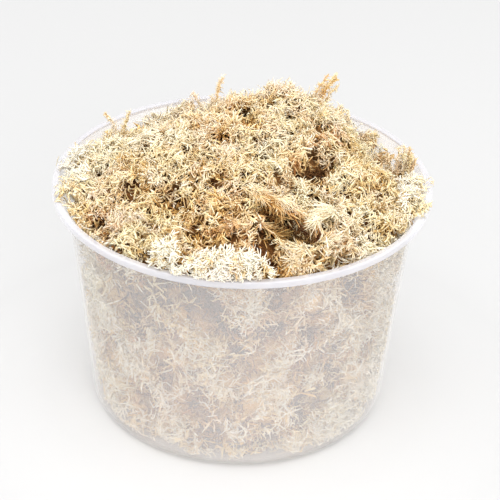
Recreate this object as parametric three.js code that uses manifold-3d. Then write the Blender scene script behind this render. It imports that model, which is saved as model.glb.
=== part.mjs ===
// Dried sphagnum moss, packed into a round translucent tub and heaped above its rim.
//
// Units are millimetres and +Z is up. The origin is the centre of the tub's foot, on the surface below it.
// The tub is one moulded shell. The moss is packed in as wads, each a torn-off tangle of dry stems: a matted
// core with leafy stems lying over its outer face. Wads meet along narrow gaps and never cross each other.

import * as THREE from "three";
import { mergeVertices } from "three/addons/utils/BufferGeometryUtils.js";
import Module from "manifold-3d";

const wasm = await Module();
wasm.setup();

// ---------------------------------------------------------------- driving dimensions

const TUB_HEIGHT = 123;
const RIM_RADIUS = 95; // outer edge of the lip
const LIP_WIDTH = 3.5; // flat top of the lip, from the tub's mouth outwards
const LIP_THICKNESS = 1.2;
const SKIRT_DEPTH = 3.6; // the lip's turned-down edge
const EDGE_ROUND = 0.5;
const WALL = 1.1;
const SHOULDER_HEIGHT = 112; // the step in the wall that keeps stacked tubs apart
const SHOULDER_RISE = 2.4;
const SHOULDER_WALL_RADIUS = 87.2; // outside of the wall just below that step
const SHOULDER_STEP = 2;
const FOOT_WALL_RADIUS = 76.4; // outside of the wall, where it meets the bottom corner
const CORNER = 8; // outer radius of the bottom corner
const CORNER_STEPS = 3;
const FOOT_RING_WIDTH = 4;
const FOOT_RECESS = 1.2; // how far the middle of the base stands clear of the surface
const TUB_SIDES = 36;

const WALL_GAP = 0.8; // moss to tub, more than a facet of the wall dips inwards
const WAD_GAP = 0.6; // wad to wad
const PLUME_DEPTH = 3.2; // the layer of leafy stems over the matted cores
const PILE_DETAIL = 7; // subdivisions of the icosahedron that the pile is drawn out from

const RANDOM_SEED = 20417;

// ---------------------------------------------------------------- small helpers

function randomFrom(seed) {
  let state = seed >>> 0;
  return (low = 0, high = 1) => {
    state = (state + 0x6d2b79f5) >>> 0;
    let t = Math.imul(state ^ (state >>> 15), 1 | state);
    t = (t + Math.imul(t ^ (t >>> 7), 61 | t)) ^ t;
    return low + (high - low) * (((t ^ (t >>> 14)) >>> 0) / 4294967296);
  };
}

const vec = (x, y, z) => new THREE.Vector3(x, y, z);
const mix = (a, b, t) => a + (b - a) * t;

// A smooth pseudo-random swell over space, between -1 and 1.
function swell(p, scale) {
  const x = p.x / scale;
  const y = p.y / scale;
  const z = p.z / scale;
  return (
    Math.sin(x * 1.7 + y * 2.3 + 0.6) * Math.cos(z * 2.1 - x * 0.8 + 1.1) * 0.6 +
    Math.sin(y * 3.1 - z * 1.9 + 2.4) * Math.cos(x * 2.9 + 0.3) * 0.4
  );
}

function solidFrom(geometry) {
  const bare = geometry.index ? geometry.toNonIndexed() : geometry.clone();
  bare.deleteAttribute("normal");
  bare.deleteAttribute("uv");
  const merged = mergeVertices(bare, 1e-4);
  return new wasm.Manifold(
    new wasm.Mesh({
      numProp: 3,
      vertProperties: new Float32Array(merged.attributes.position.array),
      triVerts: new Uint32Array(merged.index.array),
    }),
  );
}

function geometryFrom(solid) {
  const mesh = solid.getMesh();
  const places = new Float32Array(mesh.numVert * 3);
  for (let i = 0; i < mesh.numVert; i++) {
    places.set(mesh.vertProperties.subarray(i * mesh.numProp, i * mesh.numProp + 3), i * 3);
  }
  return new THREE.BufferGeometry()
    .setAttribute("position", new THREE.BufferAttribute(places, 3))
    .setIndex(new THREE.BufferAttribute(mesh.triVerts, 1));
}

function indexed(points, faces) {
  return new THREE.BufferGeometry()
    .setAttribute("position", new THREE.Float32BufferAttribute(points.flatMap((p) => p.toArray()), 3))
    .setIndex(faces);
}

// The largest body of a union: a crumb cut loose is dropped, and a sealed pocket is filled.
function mainBody(solid) {
  return solid.decompose().reduce((a, b) => (b.volume() > a.volume() ? b : a));
}

// ---------------------------------------------------------------- the tub

const MOUTH_RADIUS = RIM_RADIUS - LIP_WIDTH;
const CORNER_CENTRE_RADIUS = FOOT_WALL_RADIUS - CORNER;
const FLOOR = FOOT_RECESS + WALL;

// The wall's inner radius and height where its slope changes, from the bottom corner to the mouth.
const WALL_BENDS = [
  [FOOT_WALL_RADIUS - WALL, CORNER],
  [SHOULDER_WALL_RADIUS - WALL, SHOULDER_HEIGHT],
  [SHOULDER_WALL_RADIUS - WALL + SHOULDER_STEP, SHOULDER_HEIGHT + SHOULDER_RISE],
  [MOUTH_RADIUS, TUB_HEIGHT],
];

function innerWallRadius(z) {
  const last = WALL_BENDS.length - 2;
  const i = Math.min(last, Math.max(0, WALL_BENDS.findIndex(([, top]) => z < top) - 1));
  const [r, from] = WALL_BENDS[i];
  const [nextR, to] = WALL_BENDS[i + 1];
  return mix(r, nextR, (z - from) / (to - from));
}

function cornerArc(radius, from, to) {
  const points = [];
  for (let i = 0; i <= CORNER_STEPS; i++) {
    const a = mix(from, to, i / CORNER_STEPS);
    points.push(
      new THREE.Vector2(CORNER_CENTRE_RADIUS + radius * Math.cos(a), CORNER + radius * Math.sin(a)),
    );
  }
  return points;
}

function tubGeometry() {
  const top = TUB_HEIGHT;
  const skirtInner = RIM_RADIUS - LIP_THICKNESS;
  const underLip = top - LIP_THICKNESS;
  const down = -Math.PI / 2;
  const ringInner = CORNER_CENTRE_RADIUS - FOOT_RING_WIDTH;
  const profile = [
    new THREE.Vector2(0, FOOT_RECESS),
    new THREE.Vector2(ringInner - FOOT_RECESS, FOOT_RECESS),
    new THREE.Vector2(ringInner, 0),
    ...cornerArc(CORNER, down, 0),
    ...WALL_BENDS.slice(1, -1).map(([r, z]) => new THREE.Vector2(r + WALL, z)),
    new THREE.Vector2(MOUTH_RADIUS + WALL, underLip),
    new THREE.Vector2(skirtInner, underLip),
    new THREE.Vector2(skirtInner, top - SKIRT_DEPTH),
    new THREE.Vector2(RIM_RADIUS, top - SKIRT_DEPTH),
    new THREE.Vector2(RIM_RADIUS, top - EDGE_ROUND),
    new THREE.Vector2(RIM_RADIUS - EDGE_ROUND, top),
    new THREE.Vector2(MOUTH_RADIUS + EDGE_ROUND, top),
    new THREE.Vector2(innerWallRadius(top - EDGE_ROUND), top - EDGE_ROUND),
    ...WALL_BENDS.slice(1, -1).reverse().map(([r, z]) => new THREE.Vector2(r, z)),
    ...cornerArc(CORNER - WALL, 0, down).slice(0, -1),
    new THREE.Vector2(CORNER_CENTRE_RADIUS, FLOOR),
    new THREE.Vector2(0, FLOOR),
  ];
  return new THREE.LatheGeometry(profile, TUB_SIDES).rotateX(Math.PI / 2);
}

// ---------------------------------------------------------------- the pile of moss

// Broad swells and hollows of the heap above the rim: x, y, height and spread. The last six reach the lip.
const SWELLS = [
  [-66, 2, 8, 20],
  [38, 30, 13, 18],
  [-28, 40, -3, 14],
  [-46, 52, -12, 14],
  [-43, 16, -5, 9],
  [-20, 52, -10, 14],
  [-8, 30, 4, 14],
  [8, 34, 2, 12],
  [4, 44, 6, 9],
  [56, 26, 5, 7],
  [66, 12, -12, 7.5],
  [66, 36, -5, 9],
  [69, 55, -7, 8],
  [74, 44, -17, 17],
  [10, -44, 4, 20],
  [60, -30, 4, 18],
  [30, 80, 3, 14],
  [42, -76, 5, 15],
  [-8, -88, 9, 11],
  [-37, -80, 8, 9],
  [-91, 8, -9, 11],
  [90, 8, -10, 8],
  [90, -18, 7, 9],
];
const HEAP_EDGE = -3; // beside the mouth, against the top of the rim
const HEAP_RISE = 38;
const HEAP_POWER = 1.8; // 1 gives a cone, 2 a dome

function heapHeight(x, y) {
  const share = Math.min(Math.hypot(x, y) / MOUTH_RADIUS, 1.1);
  let z = TUB_HEIGHT + HEAP_EDGE + HEAP_RISE * (1 - share ** HEAP_POWER);
  for (const [cx, cy, rise, spread] of SWELLS) {
    z += rise * Math.exp(-((x - cx) ** 2 + (y - cy) ** 2) / (2 * spread * spread));
  }
  return z + 2 * swell(vec(x, y, 0), 17);
}

const LIP_CLEARANCE = 0.6;
const LIP_INSET = 1.5; // moss on the lip stays this far inside the tub's outer edge

// How far the moss may reach sideways at a height: over the lip, to the wall, or to the cut-off corner.
function sideLimit(z) {
  if (z > TUB_HEIGHT + LIP_CLEARANCE) {
    return RIM_RADIUS - LIP_INSET;
  }
  const wall = innerWallRadius(z) - WALL_GAP;
  const corner = CORNER_CENTRE_RADIUS + z - FLOOR - WALL_GAP;
  return Math.min(wall, corner);
}

// Whether a point lies in the matted pile, under the plumes and inside the mouth of the tub.
function inPile(p) {
  const side = sideLimit(Math.min(p.z, TUB_HEIGHT)) - PLUME_DEPTH;
  const top = heapHeight(p.x, p.y) - PLUME_DEPTH;
  return p.z > FLOOR + WALL_GAP / 2 && p.z < top && Math.hypot(p.x, p.y) < side;
}

const PILE_CENTRE = vec(0, 0, 80);
const RELIEF = 1.8; // the mat's hollows are up to twice this deep
const MARCH = 4;
const HALVINGS = 9;

// The pile as one solid: the points of an icosahedron, each pushed out from the centre to the mat's surface.
function pileSolid() {
  const ball = new THREE.IcosahedronGeometry(1, PILE_DETAIL);
  const place = ball.getAttribute("position");
  const direction = vec(0, 0, 0);
  for (let i = 0; i < place.count; i++) {
    direction.fromBufferAttribute(place, i).normalize();
    const at = (t) => PILE_CENTRE.clone().addScaledVector(direction, t);
    let low = 0;
    while (inPile(at(low + MARCH))) {
      low += MARCH;
    }
    let high = low + MARCH;
    for (let k = 0; k < HALVINGS; k++) {
      const middle = (low + high) / 2;
      if (inPile(at(middle))) {
        low = middle;
      } else {
        high = middle;
      }
    }
    const lump = RELIEF * (1 + swell(at(low), 2.3));
    const p = at(low - lump);
    place.setXYZ(i, p.x, p.y, p.z);
  }
  return solidFrom(ball);
}

// A place over the mat on top of the heap, or beside the wall, with the way out of the moss there.
function crownSurface(x, y, lift) {
  const reach = 4;
  const slopeX = (heapHeight(x + reach, y) - heapHeight(x - reach, y)) / (2 * reach);
  const slopeY = (heapHeight(x, y + reach) - heapHeight(x, y - reach)) / (2 * reach);
  const up = vec(-slopeX, -slopeY, 1).normalize();
  return { p: vec(x, y, heapHeight(x, y) - PLUME_DEPTH).addScaledVector(up, lift), up };
}

function sideSurface(angle, z, lift) {
  const up = vec(Math.cos(angle), Math.sin(angle), 0);
  const r = sideLimit(Math.min(z, TUB_HEIGHT)) - PLUME_DEPTH + lift;
  return { p: vec(r * up.x, r * up.y, z), up };
}

// ---------------------------------------------------------------- the wads

const CROWN_RINGS = [
  { radius: 0, count: 1, turn: 0 },
  { radius: 36, count: 6, turn: 0.3 },
  { radius: 71, count: 13, turn: 0.1 },
];
const CROWN_DEPTH = 12; // a wad's centre below the heap's surface
const SIDE_ROWS = [
  { height: 34, count: 9, turn: 0 },
  { height: 97, count: 9, turn: 0.5 },
];
const SIDE_DEPTH = 14; // a wad's centre in from the wall
const JITTER = 5;

// The moss is bleached unevenly, so each wad takes one of four finishes.
const FINISHES = {
  cream: { color: 0xe6d9ab, roughness: 0.95 },
  straw: { color: 0xcdb684, roughness: 0.95 },
  tan: { color: 0xb3925e, roughness: 0.95 },
  olive: { color: 0xa79a62, roughness: 0.95 },
};
const CROWN_FINISHES = ["straw", "olive", "straw", "tan", "cream", "straw", "cream"];
const SIDE_FINISHES = ["straw", "tan", "straw", "cream", "olive"];

function placeWads() {
  const random = randomFrom(RANDOM_SEED);
  const wads = [];
  for (const ring of CROWN_RINGS) {
    for (let i = 0; i < ring.count; i++) {
      const a = ((i + ring.turn) / ring.count) * 2 * Math.PI;
      const x = ring.radius * Math.cos(a) + random(-JITTER, JITTER);
      const y = ring.radius * Math.sin(a) + random(-JITTER, JITTER);
      const n = wads.length;
      const middle = crownSurface(x, y, -CROWN_DEPTH);
      wads.push({
        name: `moss_crown_${String(n + 1).padStart(2, "0")}`,
        finish: CROWN_FINISHES[n % CROWN_FINISHES.length],
        centre: middle.p,
        onFace: (s, t, lift) => crownSurface(x + s, y + t, lift),
        stems: CROWN_STEMS,
      });
    }
  }
  let n = 0;
  for (const row of SIDE_ROWS) {
    for (let i = 0; i < row.count; i++) {
      const a = ((i + row.turn) / row.count) * 2 * Math.PI + random(-0.08, 0.08);
      const z = row.height + random(-JITTER, JITTER);
      wads.push({
        name: `moss_side_${String(n + 1).padStart(2, "0")}`,
        finish: SIDE_FINISHES[n % SIDE_FINISHES.length],
        centre: sideSurface(a, z, -SIDE_DEPTH).p,
        onFace: (s, t, lift) => sideSurface(a + s / innerWallRadius(z), z + t, lift),
        stems: SIDE_STEMS,
      });
      n += 1;
    }
  }
  for (const wad of wads) {
    wad.walls = wallsOf(wad, wads);
  }
  return wads;
}

// The planes half way to each neighbour, as a normal that points out of the wad and its offset.
function wallsOf(wad, wads) {
  return wads
    .filter((other) => other !== wad)
    .map((other) => {
      const normal = other.centre.clone().sub(wad.centre);
      const apart = normal.length();
      normal.divideScalar(apart);
      return { normal, offset: normal.dot(wad.centre) + apart / 2 - WAD_GAP / 2 };
    });
}

// ---------------------------------------------------------------- leafy stems

// Bends a point back until a strand of this half-width there clears the neighbours, the tub and its floor.
function bentClear(wad, point, halfWidth) {
  const p = point.clone();
  for (let pass = 0; pass < 4; pass++) {
    for (const { normal, offset } of wad.walls) {
      const over = normal.dot(p) + halfWidth - offset;
      if (over > 0) {
        p.addScaledVector(normal, -over);
      }
    }
    if (p.z > TUB_HEIGHT - 1) {
      p.z = Math.max(p.z, TUB_HEIGHT + LIP_CLEARANCE + halfWidth);
    }
    const limit = sideLimit(p.z) - halfWidth;
    const r = Math.hypot(p.x, p.y);
    if (r > limit) {
      p.x *= limit / r;
      p.y *= limit / r;
    }
    p.z = Math.max(p.z, FLOOR + WALL_GAP / 2 + halfWidth);
  }
  return p;
}

const TIP_CLEARANCE = 0.2;

function isClear(wad, p) {
  return (
    wad.walls.every(({ normal, offset }) => normal.dot(p) + TIP_CLEARANCE < offset) &&
    Math.hypot(p.x, p.y) < sideLimit(p.z) - TIP_CLEARANCE &&
    p.z > FLOOR + WALL_GAP / 2
  );
}

const SHORTENING = 0.85;
const SHORTENINGS = 14;

// A branch's tip: where its heading takes it, or nearer where the neighbours or the tub are in its way.
function tipOf(wad, root, heading, length) {
  let reach = length;
  for (let i = 0; i < SHORTENINGS; i++) {
    const tip = root.clone().addScaledVector(heading, reach);
    if (isClear(wad, tip)) {
      return tip;
    }
    reach *= SHORTENING;
  }
  return root.clone().addScaledVector(heading, reach);
}

// The three branches of a whorl: on top of the stalk, and to its left and right.
const BRANCH_HEADINGS = [
  { sideways: 0, upward: 0.5, share: 0.6 },
  { sideways: -0.8, upward: 0.16, share: 1 },
  { sideways: 0.8, upward: 0.16, share: 1 },
];

// A leafy stem along a curve: a stalk of three sides, pointed at both ends, and a whorl of three branches for
// each step of it. Each branch is a side of the stalk drawn out to a point, and leans towards the stem's tip.
function leafyStem(wad, path, up, { whorls, width, longest }, random) {
  const curve = new THREE.CatmullRomCurve3(path);
  const corners = [curve.getPoint(0)];
  const faces = [];
  const frames = [];
  for (let i = 0; i <= whorls; i++) {
    const t = mix(0.14, 0.94, i / whorls);
    const p = curve.getPoint(t);
    const along = curve.getTangent(t);
    const across = along.clone().cross(up).normalize();
    const rise = across.clone().cross(along);
    const w = mix(width, width * 0.55, i / whorls);
    frames.push({ t, along, across, rise });
    corners.push(p.clone().addScaledVector(across, w / 2).addScaledVector(rise, w * 0.2));
    corners.push(p.clone().addScaledVector(across, -w / 2).addScaledVector(rise, w * 0.2));
    corners.push(p.clone().addScaledVector(rise, -w * 0.5));
  }
  const end = corners.push(curve.getPoint(1)) - 1;
  for (let k = 0; k < 3; k++) {
    const next = (k + 1) % 3;
    faces.push(0, 1 + k, 1 + next);
    faces.push(end - 3 + k, end, end - 3 + next);
    for (let i = 0; i < whorls; i++) {
      const { t, along, across, rise } = frames[i];
      const a = 1 + i * 3 + k;
      const b = 1 + i * 3 + next;
      const root = vec(0, 0, 0);
      for (const n of [a, b, a + 3, b + 3]) {
        root.addScaledVector(corners[n], 1 / 4);
      }
      const { sideways, upward, share } = BRANCH_HEADINGS[k];
      const heading = along.clone().multiplyScalar(random(0.6, 0.72)).addScaledVector(across, sideways);
      heading.addScaledVector(rise, upward * random(0.5, 1.3)).normalize();
      const length = longest * share * mix(1, 0.6, t) * random(0.82, 1);
      const tip = corners.push(tipOf(wad, root, heading, length)) - 1;
      faces.push(a, a + 3, tip, a + 3, b + 3, tip, b + 3, b, tip, b, a, tip);
    }
  }
  return solidFrom(indexed(corners, faces));
}

const CROWN_STEMS = { count: 3, length: 36, apart: 12, leafy: { whorls: 6, width: 2.6, longest: 10.5 } };
const SIDE_STEMS = { count: 3, length: 48, apart: 16, leafy: { whorls: 5, width: 3, longest: 15 } };
const STEM_LIFTS = [1.5, 2.6, 1.5]; // over the mat, so that neighbouring stems overlap like thatch
const STEM_ROOT = 9; // sunk into the mat
const STEM_STEPS = 4;

// Stems that lie over the face of a wad, in gently bent lines that share a lie, as matted moss does.
function lyingStems(wad, random) {
  const { count, length, apart, leafy } = wad.stems;
  const lie = random(0, 2 * Math.PI);
  const made = [];
  for (let i = 0; i < count; i++) {
    const heading = lie + random(-0.12, 0.12);
    const offset = (i - (count - 1) / 2) * apart;
    const bow = random(-0.1, 0.1) * length;
    const along = (forward) => {
      const sideways = offset + bow * (1 - (2 * forward / length) ** 2);
      const s = forward * Math.cos(heading) - sideways * Math.sin(heading);
      const u = forward * Math.sin(heading) + sideways * Math.cos(heading);
      return (lift) => wad.onFace(s, u, lift).p;
    };
    const half = length / 2;
    const downhill = along(-half)(0).z > along(half)(0).z ? 1 : -1;
    const path = [];
    for (let k = 0; k <= STEM_STEPS; k++) {
      const forward = mix(-half, half, k / STEM_STEPS) * downhill;
      const lift = k === 0 ? -STEM_ROOT : STEM_LIFTS[i];
      path.push(bentClear(wad, along(forward)(lift), leafy.width * 0.7));
    }
    made.push(leafyStem(wad, path, wad.onFace(0, 0, 0).up, leafy, random));
  }
  return made;
}

// Stems that stand clear of the heap: where they root, how long they are and which way they lean.
const SPRIGS = [
  { x: -67, y: 30, length: 12, lean: [-0.1, 0.1] },
  { x: -26, y: 44, length: 11, lean: [-0.2, 0.2] },
  { x: -18, y: 38, length: 13, lean: [0.4, 0.1] },
  { x: 36, y: 42, length: 18, lean: [0.12, 0.1] },
  { x: 48, y: 38, length: 20, lean: [0.05, 0.1] },
  { x: 80, y: 20, length: 16, lean: [0.12, 0.2] },
];
const SPRIG_LEAVES = { whorls: 6, width: 2, longest: 7 };
const SPRIG_ROOT = 6; // sunk into the mat

// The standing stems that root in a wad.
function sprigs(wad, random) {
  return SPRIGS.map(({ x, y, length, lean }) => {
    const foot = crownSurface(x, y, 0).p;
    const rise = vec(lean[0], lean[1], 1).normalize();
    const bend = vec(lean[1], -lean[0], 0).multiplyScalar(length * 0.25);
    const path = [];
    for (let k = 0; k <= STEM_STEPS; k++) {
      const t = k / STEM_STEPS;
      path.push(foot.clone().addScaledVector(rise, mix(-SPRIG_ROOT, length, t)).addScaledVector(bend, t * t));
    }
    return { foot, path };
  })
    .filter(({ foot }) => isClear(wad, foot))
    .map(({ path }) => {
      const clear = path.map((p) => bentClear(wad, p, SPRIG_LEAVES.width));
      return leafyStem(wad, clear, vec(0.3, -1, 0), SPRIG_LEAVES, random);
    });
}

// ---------------------------------------------------------------- the whole

const wads = placeWads();

// The ring that moss on the lip is cut back from: the lip itself and the air just above it.
function lipKeepOut() {
  const top = TUB_HEIGHT + LIP_CLEARANCE / 2;
  const bottom = TUB_HEIGHT - SKIRT_DEPTH * 3;
  const profile = [
    new THREE.Vector2(innerWallRadius(bottom) - WALL_GAP / 2, bottom),
    new THREE.Vector2(RIM_RADIUS * 1.1, bottom),
    new THREE.Vector2(RIM_RADIUS * 1.1, top),
    new THREE.Vector2(innerWallRadius(TUB_HEIGHT) - WALL_GAP / 2, top),
    new THREE.Vector2(innerWallRadius(bottom) - WALL_GAP / 2, bottom),
  ];
  return solidFrom(new THREE.LatheGeometry(profile, TUB_SIDES).rotateX(Math.PI / 2));
}

const keepOut = lipKeepOut();
const pile = pileSolid();
const SLIVER = 0.01; // shorter edges, left where stems cross, are closed up

// A wad's share of the pile, with its leafy stems fused on.
function wadSolid(wad, index) {
  const random = randomFrom(RANDOM_SEED + 101 * (index + 1));
  const core = wad.walls.reduce(
    (rest, { normal, offset }) => rest.trimByPlane(normal.clone().negate().toArray(), -offset),
    pile,
  );
  const stems = [...lyingStems(wad, random), ...sprigs(wad, random)];
  const whole = stems.reduce((sum, stem) => sum.add(stem), core);
  return mainBody(whole.subtract(keepOut).simplify(SLIVER));
}

const moss = new THREE.Group();
wads.forEach((wad, index) => {
  const finish = FINISHES[wad.finish];
  const material = new THREE.MeshStandardMaterial({ ...finish, metalness: 0 });
  const mesh = new THREE.Mesh(geometryFrom(wadSolid(wad, index)), material);
  mesh.name = wad.name;
  moss.add(mesh);
});

const tubMaterial = new THREE.MeshStandardMaterial({
  color: 0xf1f0f2,
  roughness: 0.35,
  metalness: 0,
  transparent: true,
  opacity: 0.4,
});
const tub = new THREE.Mesh(tubGeometry(), tubMaterial);
tub.name = "tub";

const object = new THREE.Group();
object.add(tub, moss);

export default object;
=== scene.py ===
# %% [markdown]
# # Dried sphagnum moss, heaped in a round tub
#
# Dried sphagnum is a tangle of leafy stems. Each stem is thin and brown and carries a tuft of small
# branches every couple of millimetres, and each branch is a curled, tapering thread about a centimetre
# long. Packed in a tub they mat into wads, with dark gaps between them. The frame gives the tub and the
# place of every wad. This script gives the tub its smooth moulded shell and grows the stems of each wad,
# branch by branch.

# %% Start from the frame
import itertools
import math
import warnings

import bpy
import numpy as np
from mathutils import Matrix, Vector
from mathutils.bvhtree import BVHTree


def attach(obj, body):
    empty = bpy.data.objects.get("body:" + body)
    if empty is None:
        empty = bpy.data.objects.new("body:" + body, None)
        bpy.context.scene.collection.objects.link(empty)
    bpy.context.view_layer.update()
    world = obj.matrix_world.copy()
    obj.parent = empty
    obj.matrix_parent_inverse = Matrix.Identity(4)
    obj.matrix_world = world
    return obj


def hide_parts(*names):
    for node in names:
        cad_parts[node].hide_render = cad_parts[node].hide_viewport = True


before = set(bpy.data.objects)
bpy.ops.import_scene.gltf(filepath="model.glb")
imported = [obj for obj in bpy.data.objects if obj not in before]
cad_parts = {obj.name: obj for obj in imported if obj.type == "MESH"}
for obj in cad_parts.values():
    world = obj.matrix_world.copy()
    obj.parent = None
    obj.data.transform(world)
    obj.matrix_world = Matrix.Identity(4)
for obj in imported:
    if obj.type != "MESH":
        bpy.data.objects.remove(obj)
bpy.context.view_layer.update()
MM = 0.001
bpy.ops.object.select_all(action="DESELECT")

# %% [markdown]
# ## The camera
#
# A long lens from a metre away, looking down at 32 degrees, shows the heap from above and the side of the
# tub together with little perspective. The camera could be aimed with a Track To constraint, but its axes
# are written out here, because then the slight roll is a number that can be read.

# %% Camera
CAMERA_DISTANCE = 1000
CAMERA_DOWN = math.radians(31.6)
CAMERA_ROLL = math.radians(1.58)
CAMERA_AIM = Vector((4.8, 0, 82.4))
IMAGE_SIZE = 500
FOCAL_PIXELS = 1956
SENSOR = 36

forward = Vector((0, math.cos(CAMERA_DOWN), -math.sin(CAMERA_DOWN)))
level_right = Vector((1, 0, 0))
level_up = level_right.cross(forward)
right = math.cos(CAMERA_ROLL) * level_right + math.sin(CAMERA_ROLL) * level_up
up = math.cos(CAMERA_ROLL) * level_up - math.sin(CAMERA_ROLL) * level_right
lens = bpy.data.cameras.new("camera")
lens.sensor_width = SENSOR
lens.lens = FOCAL_PIXELS / IMAGE_SIZE * SENSOR
lens.clip_start = 0.05
camera = bpy.data.objects.new("camera", lens)
bpy.context.scene.collection.objects.link(camera)
place = Matrix((right, up, -forward)).transposed().to_4x4()
place.translation = (CAMERA_AIM - forward * CAMERA_DISTANCE) * MM
camera.matrix_world = place
bpy.context.scene.camera = camera
print("camera at", [round(c, 3) for c in place.translation], "lens", round(lens.lens, 1), "mm")

# %% [markdown]
# ## Colours and nodes
#
# A hex colour is sRGB, as a screen shows it, and a shader wants linear light, so one function turns one
# into the other. Another adds a node with its settings and links in one line, which keeps each material
# short.

# %% Helpers for materials
def linear(hex_colour):
    channels = [int(hex_colour[i:i + 2], 16) / 255 for i in (1, 3, 5)]
    bright = [c / 12.92 if c <= 0.04045 else ((c + 0.055) / 1.055) ** 2.4 for c in channels]
    return (*bright, 1)


def add_node(tree, kind, settings=None, inputs=None):
    node = tree.nodes.new(kind)
    for name, value in (settings or {}).items():
        setattr(node, name, value)
    for name, value in (inputs or {}).items():
        if isinstance(value, bpy.types.NodeSocket):
            tree.links.new(value, node.inputs[name])
        else:
            node.inputs[name].default_value = value
    return node


def new_material(name):
    material = bpy.data.materials.new(name)
    material.use_nodes = True
    material.node_tree.nodes.clear()
    return material, material.node_tree


def end_material(tree, inputs):
    shader = add_node(tree, "ShaderNodeBsdfPrincipled", inputs=inputs)
    add_node(tree, "ShaderNodeOutputMaterial", inputs={"Surface": shader.outputs[0]})


def fill_ramp(ramp, stops):
    while len(ramp.elements) < len(stops):
        ramp.elements.new(0.5)
    for element, (position, colour) in zip(ramp.elements, stops):
        element.position = position
        element.color = linear(colour)


# %% [markdown]
# ## Light and floor
#
# The tub stands on seamless pale paper in soft light that comes from everywhere, a little more from above
# and from the front. A bright world gives the even part, and two large area lamps the rest. The paper
# could be a plane, but it is swept up at the back as in a studio, so that a low view has no horizon.

# %% Light
WORLD_STRENGTH = 1.2
KEY_POWER = 16
KEY_SIZE = 1.6
FILL_POWER = 18
FILL_SIZE = 1.8

world = bpy.data.worlds.new("pale studio")
world.use_nodes = True
bpy.context.scene.world = world
world.node_tree.nodes["Background"].inputs["Color"].default_value = linear("#FFFFFF")
world.node_tree.nodes["Background"].inputs["Strength"].default_value = WORLD_STRENGTH
bpy.context.scene.view_settings.view_transform = "Standard"


def area_lamp(name, location, size, power):
    data = bpy.data.lights.new(name, "AREA")
    data.shape = "DISK"
    data.size = size
    data.energy = power
    lamp = bpy.data.objects.new(name, data)
    bpy.context.scene.collection.objects.link(lamp)
    lamp.location = location
    lamp.rotation_euler = (Vector((0, 0, 0.08)) - lamp.location).to_track_quat("-Z", "Y").to_euler()
    print(name, power, "W")


area_lamp("soft key", (-0.05, -0.2, 1.6), KEY_SIZE, KEY_POWER)
area_lamp("front fill", (0.5, -1.9, 0.7), FILL_SIZE, FILL_POWER)

# %% Floor
PAPER = 6
SWEEP = 1.2
ON_FLOOR = 1e-6


def select_edges(mesh, fits):
    """Leave in edit mode with the edges selected whose two ends both fit."""
    bpy.ops.object.mode_set(mode="EDIT")
    bpy.ops.mesh.select_mode(type="EDGE")
    bpy.ops.mesh.select_all(action="DESELECT")
    bpy.ops.object.mode_set(mode="OBJECT")
    for edge in mesh.edges:
        edge.select = all(fits(mesh.vertices[i].co) for i in edge.vertices)
    bpy.ops.object.mode_set(mode="EDIT")


bpy.ops.mesh.primitive_plane_add(size=PAPER)
floor = bpy.context.object
floor.name = "paper_floor"
select_edges(floor.data, lambda end: end.y > 0)
bpy.ops.mesh.extrude_region_move(TRANSFORM_OT_translate={"value": (0, 0, PAPER / 2)})
select_edges(floor.data, lambda end: end.y > 0 and abs(end.z) < ON_FLOOR)
bpy.ops.mesh.bevel(offset=SWEEP, segments=12, affect="EDGES")
bpy.ops.object.mode_set(mode="OBJECT")
bpy.ops.object.shade_smooth()

paper, tree = new_material("matt pale studio paper")
# Paper grain of about a millimetre, and painted light: a paler disc 22 cm in radius round the tub, for the
# light that passes through the tub, which also lifts the tub's shadow
place = add_node(tree, "ShaderNodeTexCoord")
grain = add_node(tree, "ShaderNodeTexNoise", inputs={
    "Vector": place.outputs["Object"], "Scale": 900, "Detail": 2})
near_tub = add_node(tree, "ShaderNodeMapping", inputs={
    "Vector": place.outputs["Object"], "Scale": (4.6, 4.6, 4.6)})
# painted light: paler paper in a disc round the tub
painted_light_disc = add_node(tree, "ShaderNodeTexGradient", {"gradient_type": "SPHERICAL"}, {
    "Vector": near_tub.outputs["Vector"]})
grain_and_painted_light = add_node(tree, "ShaderNodeMath", {"operation": "MULTIPLY_ADD"}, {
    0: grain.outputs["Fac"], 1: 0.03, 2: painted_light_disc.outputs["Fac"]})
tone = add_node(tree, "ShaderNodeValToRGB", inputs={"Fac": grain_and_painted_light.outputs[0]})
fill_ramp(tone.color_ramp, [
    (0, "#C5C5C5"), (0.31, "#C7C7C7"), (0.44, "#CECECE"), (0.56, "#D5D5D5"), (0.66, "#DDDDDD")])
end_material(tree, {"Base Color": tone.outputs["Color"], "Roughness": 0.9, "Specular IOR Level": 0.1})
floor.data.materials.append(paper)
print("floor:", len(floor.data.polygons), "faces")

# %% [markdown]
# ## The tub
#
# The real tub is moulded from natural polypropylene: one thin wall, a rounded bottom corner on a foot
# ring, a small shoulder that keeps stacked tubs apart, and a flat lip with its edge turned down. A thing
# like this could be cut from cylinders, but every part of it is round about one axis, so its
# cross-section is drawn once, point by point, and spun.

# %% The tub's cross-section
RIM_RADIUS, TUB_HEIGHT = 95, 123
LIP, WALL, MOUTH = 1.2, 1.1, 91.5
FOOT_WALL, CORNER = 76.4, 8
SHOULDER = [(87.2, 112), (89.2, 114.4)]
SKIRT = 3.6
FLOOR = 2.3
# The base stands clear of the table inside the foot ring: radius and height where it steps down
BASE_LIFT = 1.2
FOOT_RING = [(61.0, BASE_LIFT), (61.6, 0.9), (62.4, 0.2), (63.2, 0)]
LIP_EDGE, MOUTH_EDGE, FILLET = 0.9, 0.6, 0.4  # how round the lip is outside, inside and under its skirt


def arc(centre, radius, start, end, steps):
    angles = np.radians(np.linspace(start, end, steps + 1))
    return [(centre[0] + radius * math.cos(a), centre[1] + radius * math.sin(a)) for a in angles]


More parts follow.
